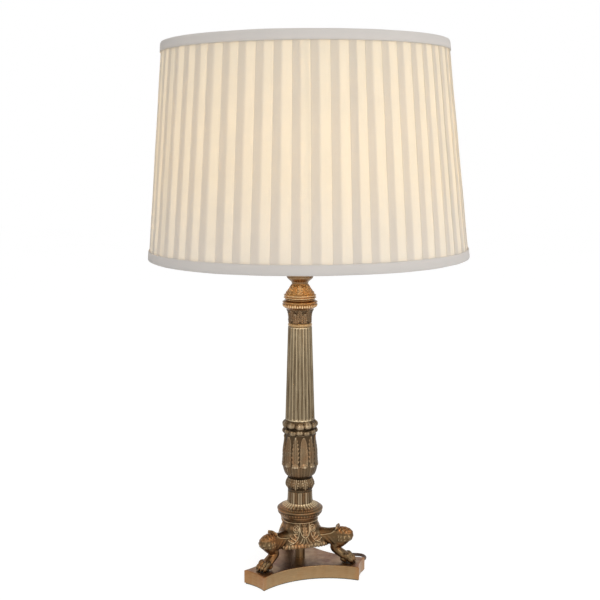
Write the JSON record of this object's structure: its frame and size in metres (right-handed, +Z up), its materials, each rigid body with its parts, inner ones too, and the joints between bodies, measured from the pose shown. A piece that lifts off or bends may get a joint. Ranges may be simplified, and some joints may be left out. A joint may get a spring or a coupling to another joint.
{
  "type": "candlestick table lamp",
  "caption": "Table lamp with a fluted brass candlestick column on a three-legged paw foot and triform plinth, under a pleated drum shade.",
  "frame": {"origin": "on the table under the column's axis, at the underside of the felt pad", "axes": "+Z up along the column, -Y towards the front, +X to the viewer's right"},
  "size_m": [0.4089, 0.409, 0.6919],
  "materials": {
    "green_felt": "matt felt",
    "antique_brass": "aged, chased, satin with dark recesses",
    "plain_brass": "satin",
    "zinc_steel": "zinc plated",
    "cream_plastic": "smooth",
    "white_ceramic": "glazed ceramic",
    "bulb_metal": "satin",
    "bulb_glass": "frosted",
    "white_wire": "white powder coat",
    "lining_fabric": "smooth translucent lining",
    "pleated_fabric": "knife pleated, translucent, matt",
    "trim_tape": "ribbed tape",
    "brown_flex": "smooth",
    "dark_rubber": "matt",
    "dark_plastic": "satin moulded",
    "plated_pins": "nickel plated"
  },
  "bodies": {
    "root": {"felt_pad": "green_felt", "plinth": "antique_brass", "paw_leg_right": "antique_brass", "paw_leg_back": "antique_brass", "paw_leg_left": "antique_brass", "tripod_skirt": "antique_brass", "collar_dish": "antique_brass", "reeded_drum": "antique_brass", "lower_knop": "antique_brass", "leaf_calyx": "antique_brass", "leaf_collar": "antique_brass", "fluted_shaft": "antique_brass", "neck_ring": "antique_brass", "leaf_capital": "antique_brass", "bead_ring": "antique_brass", "reeded_bell": "antique_brass", "candle_cup": "antique_brass", "tube_sleeve": "antique_brass", "riser_tube": "plain_brass", "holder_cap": "plain_brass", "holder_shell": "plain_brass", "central_tube": "zinc_steel", "base_washer": "zinc_steel", "base_nut": "zinc_steel", "leg_screws": "zinc_steel", "holder_insert": "white_ceramic", "centre_contact": "plain_brass", "screw_shell": "plain_brass", "lower_shade_ring": "plain_brass", "upper_shade_ring": "plain_brass", "bulb_cap": "bulb_metal", "bulb_glass": "bulb_glass", "bulb_stem": "bulb_glass", "inner_flex": "brown_flex", "cord_run": "brown_flex", "cord_coil": "brown_flex", "cord_tail": "brown_flex", "cord_grommet": "dark_rubber", "cord_tie": "dark_rubber", "plug_body": "dark_plastic", "plug_pins": "plated_pins"},
    "shade": {"spider_hub": "white_wire", "spider_arms": "white_wire", "bottom_ring_wire": "white_wire", "top_ring_wire": "white_wire", "frame_ribs": "white_wire", "shade_lining": "lining_fabric", "shade_cover": "pleated_fabric", "bottom_trim": "trim_tape", "top_trim": "trim_tape"},
    "switch": {"switch_bar": "cream_plastic"}
  },
  "joints": [
    {"name": "shade_turn", "type": "hinge", "parent": "root", "child": "shade", "pos_m": [0, 0, 0.492], "axis": [0, 0, 1], "continuous": true},
    {"name": "switch_press", "type": "slide", "parent": "root", "child": "switch", "axis": [1, 0, 0], "range_m": [-0.006, 0]}
  ]
}
